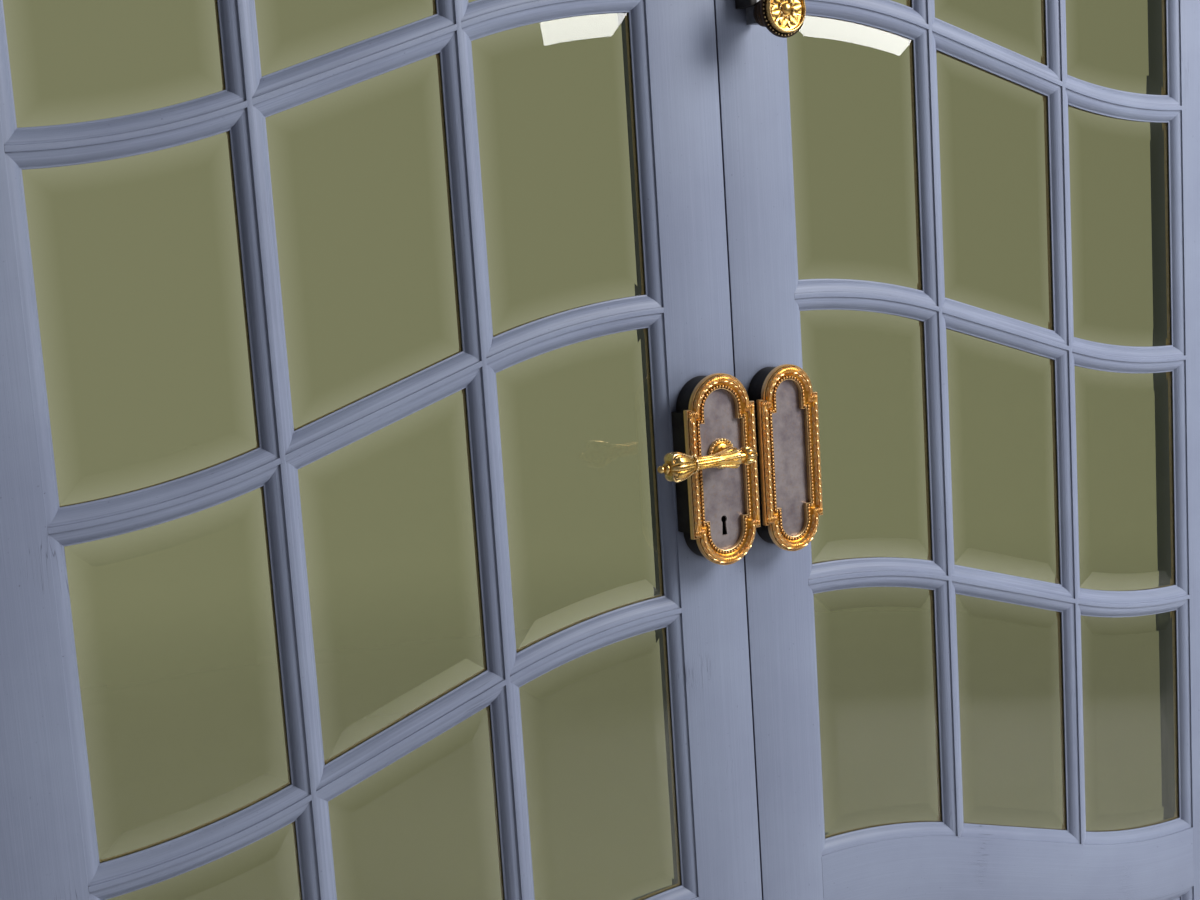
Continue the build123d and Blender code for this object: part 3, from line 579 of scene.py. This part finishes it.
def leaf_patch(shape, at, rows=6, columns=4):
    """A cast leaf: at(u, v, height) places a point along it, across it and above its ground."""
    vein_deep, rim_sunk = 0.35, 0.4
    grid = []
    for m in range(rows + 1):
        u = m / rows
        row = []
        for n in range(columns + 1):
            v = 2 * n / columns - 1
            vein = vein_deep if n * 2 == columns else 0.0
            swell = 0.15 + 1.05 * u**0.7 * (1 - abs(v) ** 3) - vein
            row.append(at(u, v, -rim_sunk if abs(v) == 1 or m in (0, rows) else swell))
        grid.append(row)
    shape.skin(grid, around=False)


def laurel(shape, centre_x, half):
    """Three rows of leaves up each side of the roll, kept clear of the ties."""
    path = half_outline(half, roll_inset)
    length, at = ways(path)
    ties = [(x, z) for x, z in path if abs(abs(z) - (shoulder - roll_inset)) < 1e-6]
    leaf_long, unit, spread, lap = 9.6, 7.2, 0.66, 0.95
    foot_gap, head_gap, tie_gap = 3.0, 2.0, 5.0
    for side in (1, -1):
        for row, lean in enumerate((-lap, 0.0, lap)):
            s = foot_gap + (unit / 2 if row == 1 else 0.0)
            while s + leaf_long < length - head_gap:
                (x_mid, z_mid), _ = at(s + leaf_long / 2)

                def on_roll(u, v, height, s=s, lean=lean, side=side):
                    (x, z), (tx, tz) = at(s + leaf_long * u)
                    around = lean + spread * v * sin(pi * min(1.0, 0.2 + 0.8 * u)) ** 0.7
                    out = (roll_out + height) * sin(around)
                    up = (roll_up + height) * cos(around)
                    return (centre_x + side * (x + tz * out), face_y - roll_stand - up,
                            lock_z + z - tx * out)

                if all(hypot(x_mid - x, z_mid - z) > tie_gap for x, z in ties):
                    leaf_patch(shape, on_roll)
                s += unit


def ribbons(shape, centre_x, half):
    """The ties over the roll: seven coils at each shoulder, four at the head and the foot."""
    for sx in (1, -1):
        for sz in (1, -1):
            tie_x = centre_x + sx * (half - roll_inset - end_step / 2)
            tie_z = lock_z + sz * (shoulder - roll_inset)
            for step, radius in ((-4.2, 2.9), (-2.8, 3.9), (-1.2, 4.2), (0.6, 4.4), (2.4, 4.3),
                                 (4.0, 3.7), (5.2, 2.9)):
                ball(shape, (tie_x + sx * step, face_y - roll_stand, tie_z),
                     (1.5, radius - 0.5, radius), 14, 8)
    for sz in (1, -1):
        tie_z = lock_z + sz * (half_height - roll_inset)
        for step in (-3.4, -1.2, 1.2, 3.4):
            ball(shape, (centre_x + step, face_y - roll_stand, tie_z),
                 (1.5, 3.7 - abs(step) * 0.1, 4.1 - abs(step) * 0.15), 14, 8)


def pearls(shape, centre_x, half):
    """The row of pearls along the frame's inner edge."""
    right = half_outline(half, pearl_inset)
    length, at = ways(right + [(-x, z) for x, z in right[-2::-1]])
    count = round(length / pearl_pitch)
    for n in range(count):
        (x, z), _ = at(length * n / count)
        ball(shape, (centre_x + x, face_y - pearl_stand, lock_z + z), (pearl_radius,) * 3)


def gilt_frame(name, centre_x, width, body):
    """The cast frame of the lock or its keeper."""
    half = width / 2
    shape = Shape()
    rings = []
    for inset, stand in frame_section:
        right = half_outline(half, inset)
        loop = right + [(-x, z) for x, z in right[-2:0:-1]]
        rings.append([(centre_x + x, face_y - stand, lock_z + z) for x, z in loop])
    shape.skin(rings, closed=True)
    for ornament in (laurel, ribbons, pearls):
        ornament(shape, centre_x, half)
    shape.made(f"{name}_cast", gilt, body, "gilt_bronze", [name], 50)


gilt_frame("lock_frame", lock_x, lock_width, "left_leaf")

# Lever: cast, gilt and polished, turned on the follower's square end. A leafy bulb with four
# scrolls ends the fluted arm, a calyx holds it at the hub, and a beaded rose is screwed behind.
polished, start = new_finish("polished_gilt")
worn = start.node("TexCoord", out="Object").noise(180.0, 4.0, 0.6)
edge = start.node("NewGeometry", out="Pointiness")
hollow = start.node("AmbientOcclusion", {"Distance": 0.005}, out="AO", samples=8)
colour = worn.fade(0.3, 0.7).mix(tone(222, 162, 66), tone(246, 202, 116))
# Near-white on the sharp ridges, found by pointiness: a painted highlight.
colour = (edge.fade(0.51, 0.60) * 0.6).mix(colour, tone(255, 240, 200))
# Brown in the hollows, found by ambient occlusion: painted shade.
colour = hollow.fade(0.60, 0.15).mix(colour, tone(92, 54, 20))
close_finish(start, worn, 0.0001, Base_Color=colour, Metallic=1.0, Roughness=0.2 + worn * 0.16)
lever_z, lever_y = 1065.0, -79.0
collar_at, collar_reach = -53.2, 7.1
calyx_at, calyx_long, calyx_leaves, bulb_leaves = -30.0, 23.6, 6, 5
bulb_at, bulb_long, bulb_middle, bulb_half, bulb_taller = -55.5, 20.0, -70.0, 15.0, 0.24
curl_at, curl_run, curl_foot, curl_rise = -56.0, 19.4, 6.2, 5.5
eye_along, eye_up, eye_reach = -75.4, 6.9, 4.8
run_in, widening, strap_steps, coil_steps = 13, 17, 26, 30


def turned(shape, stations, place, sides=64):
    """A turned body; a station is (along, radius, lobes, depth of the grooves between them)."""
    rings = []
    for station in stations:
        along, radius, lobes, depth = (*station, 1, 0.0)[:4]
        ring = []
        for n in range(sides):
            a = 2 * pi * n / sides
            r = radius - depth * (1 - abs(cos(lobes * a / 2))) ** 1.5
            ring.append(place(along, r * cos(a), r * sin(a)))
        rings.append(ring)
    shape.skin(rings, capped=True)


def ring_of_beads(shape, place, along, reach, count, radii, sides, rows):
    """Cast beads set round a turned body."""
    for n in range(count):
        a = 2 * pi * n / count
        ball(shape, place(along, reach * cos(a), reach * sin(a)), radii, sides, rows)


def rope(shape, path, radii, sides=8):
    """A round strand along a path, thinning as its radii say."""
    rings = []
    for n, point in enumerate(path):
        here = Vector(point)
        on, back = Vector(path[min(n + 1, len(path) - 1)]), Vector(path[max(n - 1, 0)])
        way = (on - back).normalized()
        level = Vector((0, 1, 0))
        out = way.cross(level).normalized()
        rings.append([tuple(here + radii[n] * (level * cos(a) + out * sin(a)))
                      for a in (2 * pi * m / sides for m in range(sides))])
    shape.skin(rings, capped=True)


def along_arm(along, a, b):
    return (lock_x + along, lever_y - a, lever_z + b)


def along_bulb(along, a, b):
    """Places on the arm's body, which is taller than it is deep at the bulb."""
    swell = max(0.0, 1 - ((along - bulb_middle) / bulb_half) ** 2)
    return along_arm(along, a, b * (1 + bulb_taller * swell))


def from_face(centre_x, centre_z):
    """Places for a body turned about a line out of the leaf's face."""
    return lambda stand, a, b: (centre_x + a, face_y - stand, centre_z + b)


def curl_points():
    """The line of a scroll in the upright plane, rising from the arm and coiling to its eye."""
    points = []
    for m in range(run_in + coil_steps + 1):
        q = (m - run_in) / coil_steps
        if q < 0:
            points.append((curl_at - curl_run * m / run_in,
                           curl_foot + curl_rise * sin(m / run_in * pi / 2)))
        else:
            reach, a = eye_reach - 4.0 * q**0.8, pi / 2 + q * 3.4 * pi
            points.append((eye_along + reach * cos(a), eye_up + reach * sin(a)))
    return points


arm_profile = [
    (-91.0, 0.6), (-90.4, 2.0), (-89.2, 3.0), (-87.8, 3.4), (-86.2, 3.0), (-85.2, 2.2),
    (-84.8, 3.4), (-83.4, 4.6), (-81.8, 4.6), (-80.8, 3.8), (-80.4, 5.6, 10, 1.2),
    (-79.0, 7.6, 10, 1.5), (-75.0, 9.4, 10, 1.5), (-70.0, 9.7, 10, 1.3), (-65.0, 8.9, 10, 1.0),
    (-59.0, 7.4, 10, 0.7), (-54.6, 6.4, 10, 0.3), (-54.0, 7.2), (-52.4, 7.2),
    (-51.8, 6.4, 8, 0.3), (-50.0, 6.3, 8, 0.9), (-44.0, 5.9, 8, 0.9), (-37.0, 5.6, 8, 0.9),
    (-31.0, 5.9, 8, 0.8), (-27.0, 5.8, 8, 0.4), (-21.0, 6.4), (-15.0, 7.6), (-9.0, 8.6),
    (-7.2, 8.6), (-6.6, 7.6), (-6.4, 5.0), (0.8, 5.0), (1.4, 6.8, 8, 0.9), (2.6, 8.3, 8, 1.8),
    (5.0, 8.9, 8, 2.4), (8.0, 8.4, 8, 2.6), (11.0, 6.8, 8, 2.2), (13.2, 4.8, 8, 1.3),
    (14.6, 3.0, 8, 0.4), (15.0, 2.4), (15.6, 2.6), (16.2, 2.0), (16.5, 0.6)]
hub_profile = [(28.0, 6.8), (33.0, 6.3), (35.0, 6.6), (36.0, 7.4), (37.2, 7.6), (38.4, 7.4),
               (39.4, 6.4), (45.0, 5.9), (50.0, 6.2), (57.0, 6.6)]
lever = Shape()
turned(lever, arm_profile, along_bulb, 80)
ring_of_beads(lever, along_arm, collar_at, collar_reach, 18, (1.0,) * 3, 8, 5)
for n in range(calyx_leaves):
    middle = 2 * pi * n / calyx_leaves

    def on_calyx(u, v, height, middle=middle):
        r = 5.4 + 3.4 * u**1.2 + height * 1.7 + 0.5 * abs(v) ** 4 * u
        a = middle + v * 0.47 * u**0.6
        return along_arm(calyx_at + calyx_long * u, r * cos(a), r * sin(a))

    leaf_patch(lever, on_calyx, 10, 8)
for n in range(bulb_leaves):
    middle = 2 * pi * n / bulb_leaves + 0.6

    def on_bulb(u, v, height, middle=middle):
        r = 6.4 + 3.6 * sin(pi * min(1.0, 0.55 * u + 0.02)) + height * 0.8
        a = middle + v * 0.42 * sin(pi * (0.1 + 0.8 * u)) ** 0.6
        return along_bulb(bulb_at - bulb_long * u, r * cos(a), r * sin(a))

    leaf_patch(lever, on_bulb, 10, 8)
curl = curl_points()
for up in (1, -1):
    ball(lever, along_arm(eye_along, 0.0, up * eye_up), (4.2, 5.6, 4.4), 20, 12)
    for front in (1, -1):
        rope(lever, [along_arm(x, front * (2.6 + 3.2 * min(1.0, m / widening)), up * z)
                     for m, (x, z) in enumerate(curl)],
             [1.3 - 0.015 * m for m in range(len(curl))])
    strap = []
    for m, (x, z) in enumerate(curl[:strap_steps]):
        wide, (x_on, z_on) = 2.4 + 3.0 * min(1.0, m / widening), curl[m + 1]
        run = hypot(x_on - x, z_on - z)
        nx, nz = 0.75 * (z_on - z) / run, -0.75 * (x_on - x) / run
        strap.append([along_arm(x + nx * k, wide * w, up * (z + nz * k))
                      for w, k in ((-1, -1), (-1, 0.6), (0, 1), (1, 0.6), (1, -1), (0, -1.4))])
    lever.skin(strap, capped=True)
turned(lever, hub_profile, from_face(lock_x, lever_z), 32)
lever.made("lever_cast", polished, "lever", "gilt_bronze", ["lever"], 45)

rose_profile = [(24.5, 13.8), (25.6, 13.9), (26.8, 12.6), (27.4, 10.8), (27.0, 10.0), (27.8, 9.2),
                (28.5, 8.4), (28.5, 6.0)]
rose = Shape()
turned(rose, rose_profile, from_face(lock_x, lever_z), 48)
ring_of_beads(rose, from_face(lock_x, lever_z), 26.7, 12.5, 24, (1.8, 2.0, 1.8), 10, 6)
rose.made("lever_rose_cast", polished, "left_leaf", "gilt_bronze", ["lever_rose"], 45)

# Keeper: the same box and frame, a little narrower, screwed to the right leaf's meeting stile
# where the two bolts shoot in. Its plate is blank.
keeper_x, keeper_width = 39.5, 69.0
gilt_frame("keeper_frame", keeper_x, keeper_width, "right_leaf")

# Surface bolts, right leaf: a flat bolt runs up into the head and another down into the
# threshold. Each is worked by a knob on a ringed neck, its face cast as a flower.
knob_dark = patina("knob_neck_patina", tone(44, 34, 30), tone(76, 60, 48), tone(128, 92, 52), 0.34)
bolt_x, top_knob_z, foot_knob_z = 37.0, 1457.7, 262.0
neck_profile = [
    (23.0, 11.8), (24.2, 12.2), (25.6, 11.8), (26.6, 10.4), (27.8, 10.4), (29.0, 12.8),
    (31.0, 14.0), (33.0, 13.4), (34.2, 11.8), (35.0, 11.6), (36.0, 13.0), (37.8, 14.2),
    (39.6, 13.6), (40.8, 12.0), (41.6, 11.8), (42.4, 12.8), (43.8, 13.6), (45.2, 13.0),
    (46.2, 13.6), (47.2, 18.0), (48.4, 22.6), (49.6, 24.6), (51.2, 25.0), (52.2, 24.7),
    (52.5, 24.1), (51.6, 23.7), (51.4, 21.8), (53.6, 21.5), (53.6, 12.0)]
flower_profile = [(53.0, 12.0), (53.0, 21.3), (55.6, 21.4), (57.0, 21.1), (57.8, 20.5),
                  (58.0, 19.9), (57.8, 19.3), (57.0, 18.8), (55.2, 18.5), (54.9, 17.0),
                  (55.2, 10.0), (55.4, 1.0)]
petals, petal_root, petal_long, bud_root, bud_long = 6, 5.4, 12.4, 10.2, 7.8
ground_stand, seed_stand, seed_reach, seed_spread = 55.2, 56.2, 7.8, 0.21
rim_stand, rim_beads, rim_reach = 52.1, 40, 22.8
for name, knob_z, body in (("top_bolt_knob", top_knob_z, "top_bolt"),
                           ("foot_bolt_knob", foot_knob_z, "foot_bolt")):
    place = from_face(bolt_x, knob_z)
    neck = Shape()
    turned(neck, neck_profile, place, 96)
    neck.made(f"{name}_neck", knob_dark, body, "gilt_bronze", [name], 35)
    flower = Shape()
    turned(flower, flower_profile, place, 96)
    ring_of_beads(flower, place, rim_stand, rim_reach, rim_beads, (0.95,) * 3, 8, 5)
    ball(flower, place(seed_stand, 0.0, 0.0), (5.2, 2.6, 5.2), 28, 12)
    for n in range(petals):
        middle = 2 * pi * n / petals + 0.2
        gap = middle + pi / petals

        def on_petal(u, v, height, middle=middle, place=place):
            r = petal_root + petal_long * u
            a = middle + v * (0.40 * sin(pi * min(1.0, 0.10 + 0.80 * u)) + 0.03)
            lip = 1.3 * abs(v) ** 4 * sin(pi * u)
            stand = ground_stand + 1.5 * height * (1 - 0.4 * u) + lip
            return place(stand, r * cos(a), r * sin(a))

        def on_bud(u, v, height, gap=gap, place=place):
            r = bud_root + bud_long * u
            a = gap + v * 0.17 * sin(pi * min(1.0, 0.25 + 0.75 * u))
            return place(ground_stand + 1.2 * height, r * cos(a), r * sin(a))

        leaf_patch(flower, on_petal, 10, 8)
        leaf_patch(flower, on_bud, 6, 4)
        for a in (gap - seed_spread, gap + seed_spread):
            ball(flower, place(seed_stand, seed_reach * cos(a), seed_reach * sin(a)),
                 (1.5,) * 3, 12, 8)
    flower.made(f"{name}_face", polished, body, "gilt_bronze", [], 40)

# Floor and light: a plain pale floor that fades out into a pale room. Two soft lamps stand on
# the right, a weak one fills the left, and one behind lights the floor beyond the doors.
floor_half, fade_from, fade_to = 9.0, 1.2, 5.0
floor_paint, start = new_finish("floor_paint")
place = start.node("TexCoord", out="Object")
away = start.node("VectorMath", {0: place}, out="Value", operation="LENGTH")
close_finish(start, Base_Color=tone(222, 221, 218), Roughness=0.8,
             Alpha=away.fade(fade_to, fade_from))
floor_mesh = bpy.data.meshes.new("floor")
floor_mesh.from_pydata([(floor_half * x, floor_half * y, 0)
                        for x, y in ((-1, -1), (1, -1), (1, 1), (-1, 1))], [], [(0, 1, 2, 3)])
floor_mesh.materials.append(floor_paint)
floor = bpy.data.objects.new("floor", floor_mesh)
bpy.context.scene.collection.objects.link(floor)

world = bpy.data.worlds.new("pale_room")
world.use_nodes = True
bpy.context.scene.world = world
world_start = Wire(world.node_tree)
seen = world_start.node("LightPath", out="Is Camera Ray")
seen_through = world_start.node("LightPath", out="Is Transmission Ray")
pale = seen.math("MAXIMUM", seen, seen_through).mix(tone(84, 85, 90), tone(214, 214, 212))
backdrop = world.node_tree.nodes["Background"]
world.node_tree.links.new(pale.socket, backdrop.inputs["Color"])
backdrop.inputs["Strength"].default_value = 1.0


def lamp(name, place, aim, width, power, mirrored=True):
    """A square soft lamp at a place, aimed at a point; it can be kept out of the glass."""
    light = bpy.data.lights.new(name, "AREA")
    light.size, light.energy = width, power
    made = bpy.data.objects.new(name, light)
    made.location = place
    made.rotation_euler = (Vector(aim) - Vector(place)).to_track_quat("-Z", "Y").to_euler()
    made.visible_camera = made.visible_transmission = False
    made.visible_glossy = mirrored
    bpy.context.scene.collection.objects.link(made)


lamp("window_light", (1.6, -1.9, 2.5), (0.4, 0.0, 1.0), 1.2, 66)
lamp("low_light", (2.0, -1.8, 0.9), (0.4, 0.0, 0.8), 1.4, 26, False)
lamp("fill_light", (-2.4, -2.6, 1.4), (0.0, 0.0, 1.1), 2.0, 2)
lamp("back_light", (-0.4, 2.2, 2.9), (0.0, 1.2, 0.0), 1.6, 45, False)

# Camera: 1.3 m up and as far in front of the doors, turned to the right and rolled a little.
# Its place, turn and lens are worked out from the lines of the glazing bars in the photograph.
camera_place = (-0.92497, -1.26936, 1.28994)
camera_pan, camera_tilt, camera_roll = -31.756, 81.885, -3.751
camera_data = bpy.data.cameras.new("camera")
camera_data.lens, camera_data.sensor_width, camera_data.clip_start = 50.007, 36.0, 0.05
camera = bpy.data.objects.new("camera", camera_data)
turn = (Matrix.Rotation(radians(camera_pan), 4, "Z") @ Matrix.Rotation(radians(camera_tilt), 4, "X")
        @ Matrix.Rotation(radians(camera_roll), 4, "Z"))
camera.matrix_world = Matrix.Translation(camera_place) @ turn
bpy.context.scene.collection.objects.link(camera)
bpy.context.scene.camera = camera
bpy.context.scene.view_settings.view_transform = "Standard"
